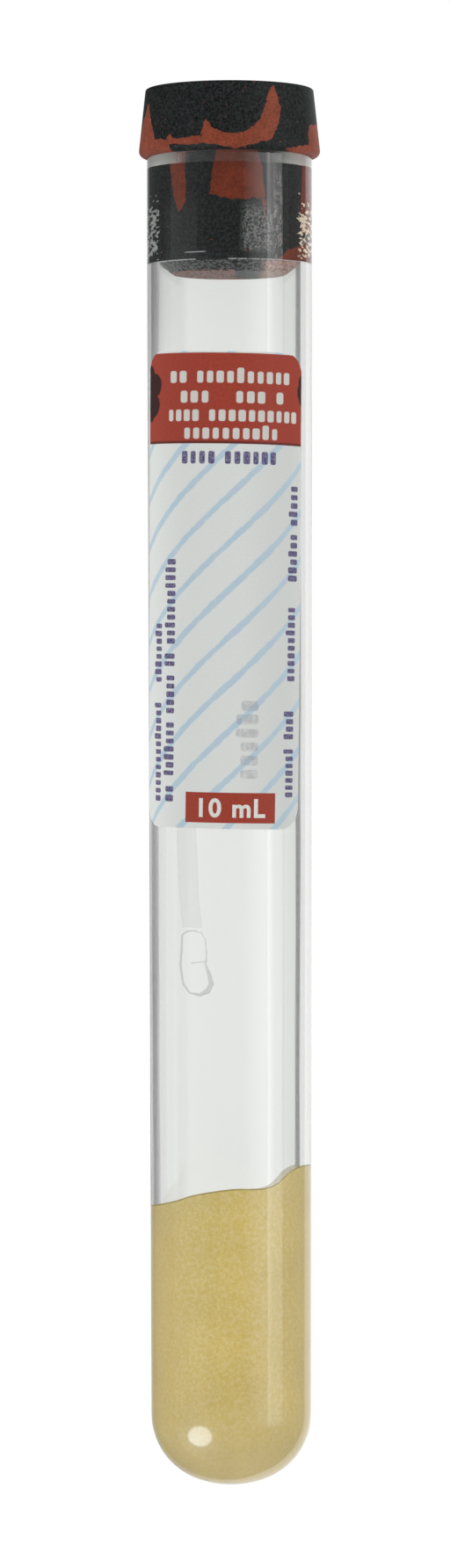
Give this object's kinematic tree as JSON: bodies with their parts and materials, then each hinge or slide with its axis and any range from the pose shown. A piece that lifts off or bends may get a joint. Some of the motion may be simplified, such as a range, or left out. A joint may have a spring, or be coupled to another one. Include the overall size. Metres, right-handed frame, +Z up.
{
  "type": "blood collection tube",
  "caption": "Clear round-ended blood collection tube lying on its side, with a marbled rubber stopper, a wrapped label, separator gel and a dried activator run.",
  "frame": {"origin": "middle of the bounding box at floor level, with the tube lying on its side", "axes": "+Y from the round end towards the stopper, +Z up and out of the label's side, +X to the right when the label is read with the stopper at the top"},
  "size_m": [0.017, 0.1314, 0.0171],
  "materials": {
    "clear_wall": "clear moulded plastic, polished",
    "marbled_rubber": "near-black rubber marbled with red-brown, matt",
    "label_paper": "thin coated paper, printed",
    "gel": "opaque tan gel, wet against the wall",
    "dried_run": "clear dried film"
  },
  "bodies": {
    "tube": {"tube_body": "clear_wall", "label": "label_paper", "separator_gel": "gel", "activator_run": "dried_run"},
    "stopper": {"stopper": "marbled_rubber"}
  },
  "joints": [
    {"name": "stopper_pull", "type": "slide", "parent": "tube", "child": "stopper", "axis": [0, 1, 0.009], "range_m": [0, 0.025]}
  ]
}
